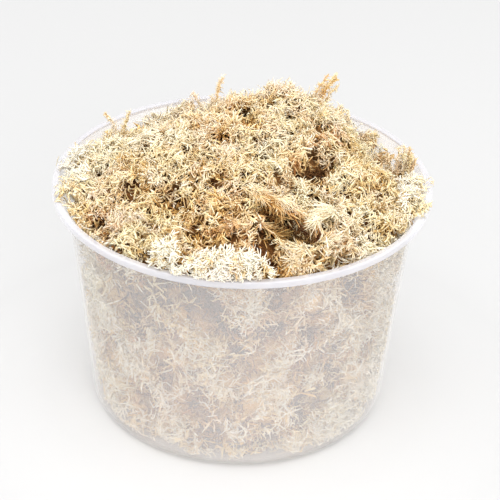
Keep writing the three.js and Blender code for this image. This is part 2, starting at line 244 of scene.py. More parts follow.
corner_centre = (FOOT_WALL - CORNER, CORNER)
outline = [
    (0, BASE_LIFT), *FOOT_RING,
    *arc(corner_centre, CORNER, -90, 0, 8),
    *SHOULDER,
    (MOUTH + WALL, TUB_HEIGHT - LIP),
    (RIM_RADIUS - LIP - FILLET, TUB_HEIGHT - LIP), (RIM_RADIUS - LIP, TUB_HEIGHT - LIP - FILLET),
    *arc((RIM_RADIUS - LIP / 2, TUB_HEIGHT - SKIRT + LIP / 2), LIP / 2, 180, 360, 4),
    *arc((RIM_RADIUS - LIP_EDGE, TUB_HEIGHT - LIP_EDGE), LIP_EDGE, 0, 90, 4),
    *arc((MOUTH + MOUTH_EDGE, TUB_HEIGHT - MOUTH_EDGE), MOUTH_EDGE, 90, 180, 3),
    *[(r - WALL, z) for r, z in reversed(SHOULDER)],
    *arc(corner_centre, CORNER - WALL, 0, -70, 5),
    (corner_centre[0] - 1, FLOOR), (0, FLOOR),
]
print("cross-section:", len(outline), "points")

# %% Draw it and spin it
TUB_STEPS = 96

bpy.ops.mesh.primitive_plane_add(size=0.01, location=(0, 0, 0))
tub = bpy.context.object
tub.name = "tub_shell"
bpy.ops.object.mode_set(mode="EDIT")
bpy.ops.mesh.select_mode(type="VERT")
bpy.ops.mesh.merge(type="CENTER")
bpy.ops.transform.translate(value=(outline[0][0] * MM, 0, outline[0][1] * MM))
for (r, z), (next_r, next_z) in itertools.pairwise(outline):
    step = ((next_r - r) * MM, 0, (next_z - z) * MM)
    bpy.ops.mesh.extrude_region_move(TRANSFORM_OT_translate={"value": step})
bpy.ops.mesh.select_all(action="SELECT")
bpy.ops.mesh.spin(steps=TUB_STEPS, angle=2 * math.pi, center=(0, 0, 0), axis=(0, 0, 1))
bpy.ops.mesh.select_all(action="SELECT")
bpy.ops.mesh.remove_doubles(threshold=0.00002)
bpy.ops.mesh.normals_make_consistent(inside=False)
bpy.ops.object.mode_set(mode="OBJECT")
bpy.ops.object.shade_smooth_by_angle(angle=math.radians(38))
print("tub:", len(tub.data.polygons), "faces")

# %% [markdown]
# ### Translucent polypropylene
#
# Natural polypropylene is milky: it hides part of what is behind it and blurs nothing much when that
# touches the wall. Volume scattering would be the physical way, but a thin milky wall looks the same as a
# pale satin surface that is partly see-through, which takes far less time. The lip is seen along its whole
# width, so it hides more, and gets a material of its own, whose colour is painted greyer than the wall's:
# painted shade, against the light that the lip catches from above.

# %% Tub materials
WALL_ALPHA = 0.25
LIP_ALPHA = 0.55
HAZE = 1  # sheen, for the milky bloom of the wall where it is seen at a slant


def tub_material(name, alpha, body):
    material, tree = new_material(name)
    place = add_node(tree, "ShaderNodeTexCoord")
    # Flow marks about 25 mm across, and a satin skin of about half a millimetre
    flow = add_node(tree, "ShaderNodeTexNoise", inputs={
        "Vector": place.outputs["Object"], "Scale": 40, "Detail": 2, "Distortion": 1.5})
    satin = add_node(tree, "ShaderNodeTexNoise", inputs={
        "Vector": place.outputs["Object"], "Scale": 1800, "Detail": 1})
    tint = add_node(tree, "ShaderNodeValToRGB", inputs={"Fac": flow.outputs["Fac"]})
    fill_ramp(tint.color_ramp, [(0.35, body[0]), (0.65, body[1])])
    gloss = add_node(tree, "ShaderNodeMapRange", inputs={
        "Value": flow.outputs["Fac"], "From Min": 0.3, "From Max": 0.7, "To Min": 0.3, "To Max": 0.4})
    bump = add_node(tree, "ShaderNodeBump", inputs={
        "Height": satin.outputs["Fac"], "Strength": 0.04, "Distance": 0.0002})
    end_material(tree, {
        "Base Color": tint.outputs["Color"], "Roughness": gloss.outputs["Result"],
        "Normal": bump.outputs["Normal"], "IOR": 1.49, "Alpha": alpha,
        "Sheen Weight": HAZE, "Sheen Roughness": 0.4})
    return material


tub.data.materials.append(tub_material(
    "natural polypropylene, thin moulded wall", WALL_ALPHA, ("#F7F1EE", "#F9F5F3")))
# painted shade: the lip's colour is greyer than the wall's, though it is the same plastic
tub.data.materials.append(tub_material(
    "natural polypropylene, lip seen edge-on", LIP_ALPHA, ("#D9D8DE", "#DEDDE2")))
lip_faces = 0
for polygon in tub.data.polygons:
    radius = math.hypot(polygon.center.x, polygon.center.y) / MM
    if polygon.center.z > (TUB_HEIGHT - SKIRT - 0.2) * MM and radius > MOUTH - 0.1:
        polygon.material_index = 1
        lip_faces += 1
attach(tub, "root")
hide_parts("tub")
print("tub finished:", lip_faces, "faces on the lip")

# %% [markdown]
# ## Where the moss is
#
# The stems have to lie on the wads of the frame, so the heap's surface is measured first: rays dropped
# from above give its height, and the wad that each ray meets first owns the stems that grow there. A
# median over neighbouring rays takes out the frame's own coarse branches. Against the wall the surface is
# the wall itself.

# %% Cast rays at the frame
moss_nodes = sorted(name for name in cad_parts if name.startswith("moss_"))
corners, faces, face_owner = [], [], []
for index, name in enumerate(moss_nodes):
    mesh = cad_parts[name].data
    first = len(corners)
    corners.extend(vertex.co / MM for vertex in mesh.vertices)
    for polygon in mesh.polygons:
        faces.append([first + i for i in polygon.vertices])
        face_owner.append(index)
moss_tree = BVHTree.FromPolygons(corners, faces)

GRID = 2
RAYS_FROM_ABOVE, RAYS_FROM_BESIDE = 300, 200
lines = np.arange(-100, 101, GRID)
height = np.full((len(lines), len(lines)), np.nan)
crown_owner = np.full(height.shape, -1)
for i, x in enumerate(lines):
    for j, y in enumerate(lines):
        hit, _, face, _ = moss_tree.ray_cast(Vector((x, y, RAYS_FROM_ABOVE)), Vector((0, 0, -1)))
        if hit:
            height[i, j] = hit.z
            crown_owner[i, j] = face_owner[face]

SIDE_ANGLES, SIDE_HEIGHTS = 180, np.arange(2, 124, GRID)
side_owner = np.full((SIDE_ANGLES, len(SIDE_HEIGHTS)), -1)
for i in range(SIDE_ANGLES):
    angle = 2 * math.pi * i / SIDE_ANGLES
    out = Vector((math.cos(angle), math.sin(angle), 0))
    for j, z in enumerate(SIDE_HEIGHTS):
        hit, _, face, _ = moss_tree.ray_cast(out * RAYS_FROM_BESIDE + Vector((0, 0, z)), -out)
        if hit:
            side_owner[i, j] = face_owner[face]
print("rays met moss at", np.isfinite(height).sum(), "places above and", (side_owner >= 0).sum(), "beside")

# %% Smooth the heap's surface
def windows(field, size):
    """The square of values round each value of a field."""
    padded = np.pad(field, size // 2, mode="edge")
    return np.lib.stride_tricks.sliding_window_view(padded, (size, size))


def fill_gaps(field, empty):
    """Give every empty place the largest value beside it, until none is empty."""
    while empty(field).any():
        near = windows(np.where(empty(field), np.nan, field.astype(float)), 3)
        value = np.nanmax(near, axis=(2, 3))
        field = np.where(empty(field) & np.isfinite(value), value, field)
    return field


warnings.simplefilter("ignore")  # numpy warns of each window that has no moss in it
crown_owner = fill_gaps(crown_owner, lambda f: f < 0).astype(int)
side_owner = fill_gaps(side_owner, lambda f: f < 0).astype(int)
heap = np.nanmedian(windows(height, 7), axis=(2, 3))
heap = fill_gaps(heap, np.isnan)
for _ in range(4):
    heap = windows(heap, 3).mean(axis=(2, 3))
slope_x, slope_y = np.gradient(heap, GRID)


def sample(field, x, y):
    """A field of the heap at any x and y, smoothly between the places where it was measured."""
    fx = np.clip((x - lines[0]) / GRID, 0, len(lines) - 1.001)
    fy = np.clip((y - lines[0]) / GRID, 0, len(lines) - 1.001)
    i, j = fx.astype(int), fy.astype(int)
    u, v = fx - i, fy - j
    return ((field[i, j] * (1 - u) + field[i + 1, j] * u) * (1 - v)
            + (field[i, j + 1] * (1 - u) + field[i + 1, j + 1] * u) * v)


print("heap from", round(heap.min(), 1), "to", round(heap.max(), 1), "mm")

# %% [markdown]
# ## One branch
#
# A dry branch is a thread that tapers at both ends and curls. It could be a curve with a bevel, but many
# thousands are needed, so one is modelled with as few faces as still look round: a triangle extruded into
# rings, scaled along its length and closed to a point at both ends. Every branch is a bent copy of it.
# The branches on top have three rings, those under them two, and those that are nearly buried only one.

# %% Model the branch
POINTED = 0.02  # the width of an end before it is closed to a point


def model_branch(name, rings):
    """A closed spindle along Z from 0 to 1, one across at its widest. Gives its points and triangles."""
    bpy.ops.object.select_all(action="DESELECT")
    bpy.ops.mesh.primitive_circle_add(vertices=3, radius=0.5, fill_type="NGON")
    branch = bpy.context.object
    branch.name = name
    bpy.ops.object.mode_set(mode="EDIT")
    bpy.ops.mesh.select_all(action="SELECT")
    heights = [0, *[place for place, _ in rings], 1]
    widths = [POINTED, *[width for _, width in rings], POINTED]
    bpy.ops.transform.resize(value=(widths[0],) * 3)
    for (low, high), (narrow, wide) in zip(itertools.pairwise(heights), itertools.pairwise(widths)):
        bpy.ops.mesh.extrude_region_move(TRANSFORM_OT_translate={"value": (0, 0, high - low)})
        bpy.ops.transform.resize(value=(wide / narrow, wide / narrow, 1))
    bpy.ops.mesh.select_all(action="SELECT")
    bpy.ops.mesh.remove_doubles(threshold=2 * POINTED)
    bpy.ops.mesh.quads_convert_to_tris()
    bpy.ops.mesh.normals_make_consistent(inside=False)
    bpy.ops.object.mode_set(mode="OBJECT")
    points = np.array([v.co for v in branch.data.vertices])
    triangles = np.array([p.vertices for p in branch.data.polygons])
    bpy.data.objects.remove(branch)
    print(name, "has", len(triangles), "triangles")
    return points, triangles


CURLED = model_branch("curled branch", [(0.1, 0.8), (0.45, 1.0), (0.86, 0.72)])
BENT = model_branch("bent branch", [(0.18, 0.9), (0.76, 0.85)])
STUB = model_branch("buried branch", [(0.4, 1.0)])

# %% [markdown]
# ## Random, but smoothly so
#
# Moss is uneven at every scale: the wads rise and sink, and whole tufts are bleached or brown. A lattice
# of random numbers with smooth steps between them gives such drifts, and the seed gives the same moss
# each time. Each drift has a seed of its own, so that height, lie and colour change apart from each
# other.

# %% Smooth random fields
SEED = 20417
LATTICE = 32
rng = np.random.default_rng(SEED)


def drift(points, size, seed):
    """A smooth random value from -1 to 1 that changes over about size millimetres."""
    lattice = np.random.default_rng(seed).uniform(-1, 1, (LATTICE, LATTICE, LATTICE))
    at = np.asarray(points) / size + (LATTICE + 1) / 2
    low = np.floor(at).astype(int)
    part = at - low
    part = part * part * (3 - 2 * part)
    total = np.zeros(at.shape[:-1])
    for step in itertools.product((0, 1), repeat=3):
        weight = np.prod(np.where(step, part, 1 - part), axis=-1)
        total += weight * lattice[tuple(((low + step) % LATTICE)[..., k] for k in range(3))]
    return total


def mix(a, b, share):
    return a + (b - a) * share


def hill(squared_distance, spread):
    """A round hill, 1 at its top."""
    return np.exp(-squared_distance / (2 * spread ** 2))


def unit(v):
    return v / np.maximum(np.linalg.norm(v, axis=-1, keepdims=True), 1e-9)


# %% [markdown]
# ## The lie of the moss
#
# On the heap a place is x and y, and its height comes from the frame, with tufts and pits added. Against
# the wall a place is the distance round and the height, and the moss stands off the wall by a little here
# and more there. Both functions take a lift, the distance out of the moss, and give points and the way
# out of the moss.

# %% Pits, and surfaces to lay stems on
# Pits on the heap: x, y, radius and depth in millimetres
HEAP_PITS = [
    # the main hollow
    (30, -28, 7, 12), (36, -20, 7, 11), (41, -14, 5, 9),
    # others
    (0, 5, 5, 8), (5, -1, 4, 6), (40, 9, 4, 6), (-38, -10, 4, 6), (-11, -12, 4, 6), (-37, -43, 4, 7),
    (-30, -48, 5, 8), (38, -48, 4, 7), (-59, -34, 4, 7), (-64, -61, 3, 6), (-47, -79, 3.5, 6),
    (62, -67, 3, 6), (54, -74, 3, 6), (68, -60, 3, 6), (-19, -68, 4, 7), (-11, -76, 4, 7), (-29, -74, 3, 6),
    (66, -39, 3.5, 7), (74, -38, 3, 6), (-70, -46, 3, 6), (-49, -39, 3, 6), (-44, -60, 3, 6), (12, 22, 4, 6),
    (-70, 20, 4, 6), (0, 40, 6, 8), (-35, 60, 6, 8), (40, 65, 6, 8), (72, 35, 4, 6), (-5, 78, 5, 7),
    (-75, 48, 4, 6),
    # the furrow under the pale lock, and the gully in front of it
    (10, -59, 3, 8), (14, -61, 3.5, 9), (19, -62.5, 3.5, 9), (24, -63.5, 3.5, 9), (28, -64, 3.5, 9),
    (32, -64.5, 4, 10), (36, -67, 4, 10), (20, -67, 2, 5), (25, -69, 2, 5), (10, -70, 3.5, 9),
    (12, -74, 4, 12), (14, -78, 4, 12), (16, -83, 3.5, 10), (18, -88, 3.5, 8),
]
# and many small gaps between the tufts
SMALL_GAPS = 110
for _ in range(SMALL_GAPS):
    x, y = rng.uniform(-84, 84, 2)
    HEAP_PITS.append((x, y, rng.uniform(1.4, 2.8), rng.uniform(3, 6)))
# Hollows against the wall: degrees round, height, radius and depth in millimetres
WALL_PITS = [
    (-114, 108, 7, 9), (-103, 98, 9, 9), (-119, 75, 6, 8), (-90, 62, 7, 8), (-107, 33, 8, 9),
    (-55, 63, 8, 8), (-80, 12, 9, 8), (-73, 104, 7, 8), (-79, 84, 7, 7), (-132, 76, 7, 8), (-62, 30, 7, 8),
    (-120, 50, 6, 7), (-45, 95, 7, 8), (-95, 84, 6, 7), (-140, 100, 7, 8), (-30, 50, 8, 8), (-100, 12, 7, 7),
    (-150, 45, 8, 8), (-127, 92, 7, 8), (-130, 28, 7, 8), (-64, 82, 6, 7), (-50, 40, 7, 8), (-88, 38, 5, 7),
    (-68, 56, 5, 7),
]
# and more of them round the back
BACK_HOLLOWS = 26
back_degrees = rng.uniform(-10, 200, BACK_HOLLOWS)
back_heights = rng.uniform(8, 112, BACK_HOLLOWS)
WALL_PITS += [(degrees, z, rng.uniform(5, 7), 7) for degrees, z in zip(back_degrees, back_heights)]
DEEPEST_PIT = 12
PIT_SPREAD = 0.75  # of its radius
FURROW_DEPTH, FURROW_WIDTH = 4, 0.1
MAT_RISE = 1
TUFTS = [(3.4, 9, 11), (1.8, 4.5, 12)]  # how high the moss rises and sinks, over what size, and a seed
# How far the moss stands off the wall: everywhere, where it is loose, and here and there
OFF_WALL, LOOSE, ROUGH = 1, 5, 0.6
GAP = 0.4  # between the wall and the moss nearest to it
SIDE_RADIUS = 82  # distances round the wall are measured at this radius


def inner_wall(z):
    """The radius of the inside of the tub at a height."""
    bends = [*[(height, r) for r, height in arc(corner_centre, CORNER - WALL, -75, 0, 4)],
             *[(height, r - WALL) for r, height in SHOULDER], (TUB_HEIGHT, MOUTH)]
    return np.interp(z, [b[0] for b in bends], [b[1] for b in bends])


def flat_place(u, v):
    return np.stack([u, v, np.zeros_like(u)], -1)


def pit_depth(u, v):
    """The winding furrows between the tufts, and the pits."""
    depth_here = FURROW_DEPTH * np.exp(-(drift(flat_place(u, v), 13, 14) / FURROW_WIDTH) ** 2)
    for x, y, radius, depth in HEAP_PITS:
        depth_here += depth * hill((u - x) ** 2 + (v - y) ** 2, radius * PIT_SPREAD)
    return np.minimum(depth_here, DEEPEST_PIT)


def on_heap(u, v, lift):
    z = sample(heap, u, v) + MAT_RISE
    for height, size, seed in TUFTS:
        z = z + height * drift(flat_place(u, v), size, seed)
    z = z - pit_depth(u, v)
    out = unit(np.stack([-sample(slope_x, u, v), -sample(slope_y, u, v), np.ones_like(u)], -1))
    return np.stack([u, v, z], -1) + out * lift[..., None], out


def on_wall(u, v, lift):
    angle = u / SIDE_RADIUS
    out = flat_place(np.cos(angle), np.sin(angle))
    place = out * SIDE_RADIUS + np.stack([np.zeros_like(u), np.zeros_like(u), v], -1)
    inward = OFF_WALL + LOOSE * np.clip(drift(place, 15, 21) - 0.05, 0, 1) + ROUGH * drift(place, 5, 22)
    for degrees, z, radius, depth in WALL_PITS:
        across = (np.degrees(angle) - degrees + 180) % 360 - 180
        across = np.radians(across) * SIDE_RADIUS
        inward += depth * hill(across ** 2 + (v - z) ** 2, radius)
    r = inner_wall(v) - GAP - np.maximum(inward - lift, 0)
    return np.stack([r * out[..., 0], r * out[..., 1], v], -1), out


def heap_wad(u, v):
    """The number of the wad that lies on top at a place of the heap."""
    i = np.clip(np.rint((u - lines[0]) / GRID).astype(int), 0, len(lines) - 1)
    j = np.clip(np.rint((v - lines[0]) / GRID).astype(int), 0, len(lines) - 1)
    return crown_owner[i, j]


def wall_wad(u, v):
    """The number of the wad that lies against the wall at a place."""
    i = np.rint(u / SIDE_RADIUS / (2 * math.pi) * SIDE_ANGLES).astype(int) % SIDE_ANGLES
    j = np.clip(np.rint((v - SIDE_HEIGHTS[0]) / GRID).astype(int), 0, len(SIDE_HEIGHTS) - 1)
    return side_owner[i, j]


print(len(HEAP_PITS), "pits on the heap and", len(WALL_PITS), "hollows behind the wall")

# %% [markdown]
# ## Stems
#
# A stem is a line that wanders over the surface: it starts a little under it, rises, and its tip stands
# out or dives under the next one. Stems could be scattered at random, but then they clump, so each layer
# starts them near the points of a grid. Neighbours share a lie, which turns smoothly from tuft to tuft,
# so the tufts look combed.

# %% Lay stems on a surface
STEM_POINTS = 14


def spread_points(low, high, spacing, keep):
    """Jittered grid points, turned, kept where keep says so."""
    count = int(np.max(high - low) / spacing) + 6
    steps = (np.arange(count) - count / 2) * spacing
    grid = np.stack(np.meshgrid(steps, steps), -1).reshape(-1, 2)
    turn = rng.uniform(0, math.pi)
    grid = grid @ np.array([[math.cos(turn), -math.sin(turn)], [math.sin(turn), math.cos(turn)]])
    grid += (low + high) / 2 + rng.uniform(-0.45, 0.45, grid.shape) * spacing
    return grid[keep(grid[:, 0], grid[:, 1])]


def lay_stems(starts, heading, length, curl, depth, on_surface):
    """Centre lines over a surface, with the way out at each point. depth is how high each one lies."""
    n = len(starts)
    t = np.linspace(0, 1, STEM_POINTS)
    wave = rng.uniform(0, 2 * math.pi, (n, 1))
    angle = heading[:, None] + curl[:, None] * (t - 0.5) + 0.35 * np.sin(7 * t + wave)
    step = length[:, None] / (STEM_POINTS - 1)
    u = np.cumsum(np.cos(angle) * step, 1)
    v = np.cumsum(np.sin(angle) * step, 1)
    u += starts[:, :1] - u.mean(1, keepdims=True)
    v += starts[:, 1:] - v.mean(1, keepdims=True)
    rise = rng.uniform(0.2, 1.8, (n, 1))
    tip = rng.uniform(-3, 1.8, (n, 1))
    lift = depth[:, None] - 2.5 * (1 - t) ** 3 + rise * 4 * t * (1 - t) + tip * t ** 3
    points, out = on_surface(u, v, lift)
    return {"points": points, "out": out, "length": length}


# %% Grow branches along stems
def along(values, stem, t):
    """The values of the stems' lines, each at its own t from root to tip."""
    at = np.clip(t, 0, 0.9999) * (STEM_POINTS - 1)
    i = at.astype(int)
    part = (at - i).reshape(-1, *[1] * (values.ndim - 2))
    return values[stem, i] * (1 - part) + values[stem, i + 1] * part


def swirl(points, size, seed):
    """A smooth random direction that neighbouring branches share, which makes locks of them."""
    return np.stack([drift(points, size, seed + k) for k in range(3)], -1)


def grow_branches(stems, whorl_gap, per_whorl, size, width, rise, head, opening, curl):
    """
    Branches in whorls along every stem, and a tuft at its tip. Gives one row of numbers per branch.

    whorl_gap and per_whorl space them, size and width are a branch's length and thickness, and head is how
    many the tip's tuft has. rise says how far they stand out of the moss, opening how far from the stem, and
    curl how curled they are.
    """
    whorls = np.maximum((stems["length"] / whorl_gap).astype(int), 2)
    stem = np.repeat(np.arange(len(whorls)), whorls * per_whorl)
    order = np.concatenate([np.arange(w * per_whorl) for w in whorls])
    t = (order // per_whorl + rng.uniform(0, 1, len(order))) / np.repeat(whorls, whorls * per_whorl)
    kind = order % per_whorl
    spread = np.where(kind == 0, rng.uniform(0.0, 0.4, len(t)), rng.uniform(0.3, 1.3, len(t))) * opening
    scale = rng.uniform(0.5, 1.4, len(t)) * (1.1 - 0.4 * t)
    tufts = np.repeat(np.arange(len(whorls)), head)
    stem = np.concatenate([stem, tufts])
    t = np.concatenate([t, rng.uniform(0.9, 1, len(tufts))])
    spread = np.concatenate([spread, rng.uniform(0.1, 1, len(tufts)) * opening])
    scale = np.concatenate([scale, rng.uniform(0.4, 0.75, len(tufts))])
    n = len(stem)

    start = along(stems["points"], stem, t)
    ahead = unit(along(np.gradient(stems["points"], axis=1), stem, t))
    out = unit(along(stems["out"], stem, t))
    side = unit(np.cross(ahead, out))
    out = np.cross(side, ahead)
    round_stem = 4 * math.pi * drift(start, 9, 61) + rng.normal(0, 1.0, n)
    away = (np.sin(round_stem) * rise)[:, None] * out + np.cos(round_stem)[:, None] * side
    heading = unit(np.cos(spread)[:, None] * ahead + np.sin(spread)[:, None] * away)
    # a branch curls ahead, back to its stem and down, and with its neighbours
    towards = 0.5 * ahead - 0.5 * away + 1.4 * swirl(start, 6, 62) + rng.normal(0, 0.6, (n, 3)) - out * 0.2
    bend = unit(towards - heading * np.sum(towards * heading, 1, keepdims=True))
    return {
        "start": start, "heading": heading, "bend": bend, "stem": stem,
        "curl": rng.uniform(1.2, 4, n) * curl, "length": size * scale,
        "width": width * rng.uniform(0.7, 1.25, n) * np.where(np.arange(n) < len(order), 1, 0.85),
        "twist": rng.uniform(0, 2 * math.pi, n),
    }


def bent_copies(template, b):
    """The branch's points for every copy: it curls along an arc, and is flatter one way than the other."""
    points, _ = template
    along_it = points[:, 2]
    c, s = np.cos(b["twist"])[:, None], np.sin(b["twist"])[:, None]
    across = (points[:, 0] * c - points[:, 1] * s) * b["width"][:, None]
    through = (points[:, 0] * s + points[:, 1] * c) * b["width"][:, None] * 0.6
    turn = b["curl"][:, None] * along_it
    reach = (b["length"] / b["curl"])[:, None]
    forward, bend = b["heading"][:, None], b["bend"][:, None]
    third = np.cross(forward, bend)
    return (b["start"][:, None] + (reach * np.sin(turn))[..., None] * forward
            + (reach * (1 - np.cos(turn)))[..., None] * bend
            + across[..., None] * third
            + through[..., None] * (np.cos(turn)[..., None] * bend - np.sin(turn)[..., None] * forward))


# %% Stems over the heap and against the wall
HEAP_REACH = MOUTH - 2.5
AROUND = 2 * math.pi * SIDE_RADIUS
SIDE_LOW, SIDE_HIGH = 2, 120
SHORTEST = 0.45  # of the longest stem of its layer


def lie(place, size, seed):
    """The direction that the moss lies in at a place, as an angle."""
    return math.pi * 1.3 * drift(place, size, seed)


def heap_layer(lift, gap, longest):
    """Stems at a height over the heap's surface, about gap apart."""
    starts = spread_points(np.full(2, -HEAP_REACH), np.full(2, HEAP_REACH), gap,
                           lambda x, y: np.hypot(x, y) < HEAP_REACH)
    n = len(starts)
    heading = lie(np.c_[starts, np.zeros(n)], 17, 51) + rng.normal(0, 0.5, n)
    stems = lay_stems(starts, heading, rng.uniform(SHORTEST, 1, n) * longest, rng.normal(0, 1.8, n),
                      lift + rng.uniform(-1, 0.8, n), on_heap)
    stems["wad"] = heap_wad(starts[:, 0], starts[:, 1])
    print(n, "stems on the heap at", lift, "mm")
    return stems


def wall_layer(lift, gap, longest):
    """The same against the wall, all round and up to the lip."""
    starts = spread_points(np.array([0, 0]), np.array([AROUND, SIDE_HIGH]), gap,
                           lambda u, v: (u > 0) & (u < AROUND) & (v > SIDE_LOW) & (v < SIDE_HIGH))
    n = len(starts)
    heading = lie(np.c_[starts, np.zeros(n)], 22, 52) + rng.normal(0, 0.5, n)
    stems = lay_stems(starts, heading, rng.uniform(SHORTEST, 1, n) * longest, rng.normal(0, 1.8, n),
                      np.full(n, lift), on_wall)
    stems["wad"] = wall_wad(starts[:, 0], starts[:, 1])
    print(n, "stems against the wall at", lift, "mm")
    return stems


# %% [markdown]
# ### Stems with a place of their own
#
# A few thin stems stand up out of the heap, some so close together that they look like one thick plume,
# and near the front locks of long branches lie combed across the pits. They are drawn as lines of their
# own: straight up from the heap with a lean and a bend, or side by side along a path over it.

# %% Sprigs and the combed locks
# x, y, length, lean along x, and how far the tip bows along x
SPRIGS = [
    (-65, 30, 13, -0.15, -4), (-63, 31, 12, 0.1, 2), (-22, 44, 15, -0.1, -4), (-20, 43, 11, 0.2, -1),
    (-16.5, 38, 20, 0, 3),
    (36.5, 42, 15, 0.2, 3), (37.5, 42, 18, 0.3, 4), (38, 42, 17, 0.3, 4), (39, 42, 15, 0.35, 4),
    (55.5, 38, 15, 0, 1), (56, 37, 14, 0.1, -1),
    (78.5, 18, 14, -0.15, -1), (80, 18, 20, 0, 0), (81, 19, 21, 0.05, 1), (82, 18, 22, 0.1, 1),
    (83, 18, 21, 0.12, 1), (84, 17, 19, 0.16, 1), (82, 16, 19, 0.05, -1), (83.5, 16.5, 20, 0.1, 0),
    (84.5, 18.5, 18, 0.12, 0), (80.5, 16.5, 15, -0.05, 0),
]
SPRIG_ROOT = 4.0
# Locks: the path over the heap, half their width, strands, how high they lie
LOCKS = [
    ([(2, -46), (9, -52), (17, -57), (31, -60)], 2.8, 13, 2.5),
    ([(6, -60), (14, -65), (22, -68), (30, -70)], 2.2, 8, -2.5),
    ([(46, -53), (39, -55), (35, -61), (36, -68), (42, -73)], 3.2, 10, 1.5),
    ([(26, -66), (30, -70), (30, -75), (25, -74)], 1.5, 6, 1.5),
    ([(33, -76), (27, -79), (25, -85), (27, -90)], 1.8, 8, 1.5),
]
BRIDGED = 0.7  # a lock that lies high bridges the pits below it, by this share of their depth


def stems_from(points, out):
    """The lines of stems drawn point by point, in the same form as those of lay_stems."""
    length = np.linalg.norm(np.diff(points, axis=1), axis=2).sum(1)
    return {"points": points, "out": out, "length": length}


def sprig_stems():
    """Thin stems that stand up out of the heap."""
    t = np.linspace(0, 1, STEM_POINTS)
    lines_up, outs = [], []
    for x, y, length, lean, bow in SPRIGS:
        foot, _ = on_heap(np.array([x]), np.array([y]), np.array([-SPRIG_ROOT]))
        rise = unit(np.array([lean, 0.1, 1]))
        bent = np.outer(t ** 3, (bow, 0, -0.2 * abs(bow)))
        lines_up.append(foot + np.outer(t * (length + SPRIG_ROOT), rise) + bent)
        outs.append(np.tile((0.3, -1, 0), (STEM_POINTS, 1)))
    stems = stems_from(np.array(lines_up), np.array(outs, float))
    stems["wad"] = heap_wad(np.array([s[0] for s in SPRIGS]), np.array([s[1] for s in SPRIGS]))
    return stems


def lock_stems():
    """Strands that lie side by side along a path over the heap."""
    t = np.linspace(0, 1, STEM_POINTS)
    all_points, all_out = [], []
    for path, half_width, strands, height_over in LOCKS:
        path = np.array(path, float)
        knots = np.linspace(0, 1, len(path))
        u, v = np.interp(t, knots, path[:, 0]), np.interp(t, knots, path[:, 1])
        for _ in range(2):
            u[1:-1], v[1:-1] = (u[:-2] + u[1:-1] + u[2:]) / 3, (v[:-2] + v[1:-1] + v[2:]) / 3
        across = unit(np.stack([-np.gradient(v), np.gradient(u)], -1))
        place = np.linspace(-half_width, half_width, strands)[:, None] * (1 - 0.5 * np.sin(math.pi * t))
        place = place + 0.5 * rng.normal(0, 1, (strands, 1))
        bow = np.sin(math.pi * t) ** 0.5
        lift = height_over * bow + rng.uniform(-0.8, 0.8, (strands, 1))
        x, y = u + place * across[:, 0], v + place * across[:, 1]
        points, out = on_heap(x, y, lift)
        if height_over > 0:
            points[..., 2] += BRIDGED * pit_depth(x, y)
        all_points.append(points)
        all_out.append(out)
    stems = stems_from(np.concatenate(all_points), np.concatenate(all_out))
    stems["wad"] = heap_wad(stems["points"][:, STEM_POINTS // 2, 0], stems["points"][:, STEM_POINTS // 2, 1])
    return stems


# %% Stems that spill over the lip
# degrees round, half the width in degrees, how many stems, and how far out their tips come
OVER_LIP = [(-114, 5, 9, 95), (-94, 9, 36, 96), (-176, 12, 9, 91), (-8, 10, 8, 92)]


def spilling_stems():
    """Stems that start in the heap and end over the lip."""
    t = np.linspace(0, 1, STEM_POINTS)
    middles, halves, count, reach = zip(*OVER_LIP)
    middle, half = np.radians(np.repeat(middles, count)), np.radians(np.repeat(halves, count))
    n = len(middle)
    angle = middle + half * rng.uniform(-1, 1, n)
    turn = rng.uniform(-0.14, 0.14, n)
    end_r = np.repeat(reach, count) - rng.uniform(0, 5, n)
    start_r = end_r - rng.uniform(6, 12, n)
    r = start_r[:, None] + (end_r - start_r)[:, None] * t
    angle = angle[:, None] + turn[:, None] * t
    u, v = r * np.cos(angle), r * np.sin(angle)
    foot = sample(heap, u[:, 0], v[:, 0]) + rng.uniform(-1, 1, n)
    end = TUB_HEIGHT + rng.uniform(1, 2.5, n)
    arch = rng.uniform(1, 3.5, n)[:, None] * np.sin(math.pi * t)
    z = foot[:, None] + (end - foot)[:, None] * t ** 1.3 + arch
    stems = stems_from(np.stack([u, v, z], -1), np.tile((0.0, 0, 1), (n, STEM_POINTS, 1)))
    stems["wad"] = heap_wad(u[:, 0], v[:, 0])
    print(n, "stems over the lip")
    return stems


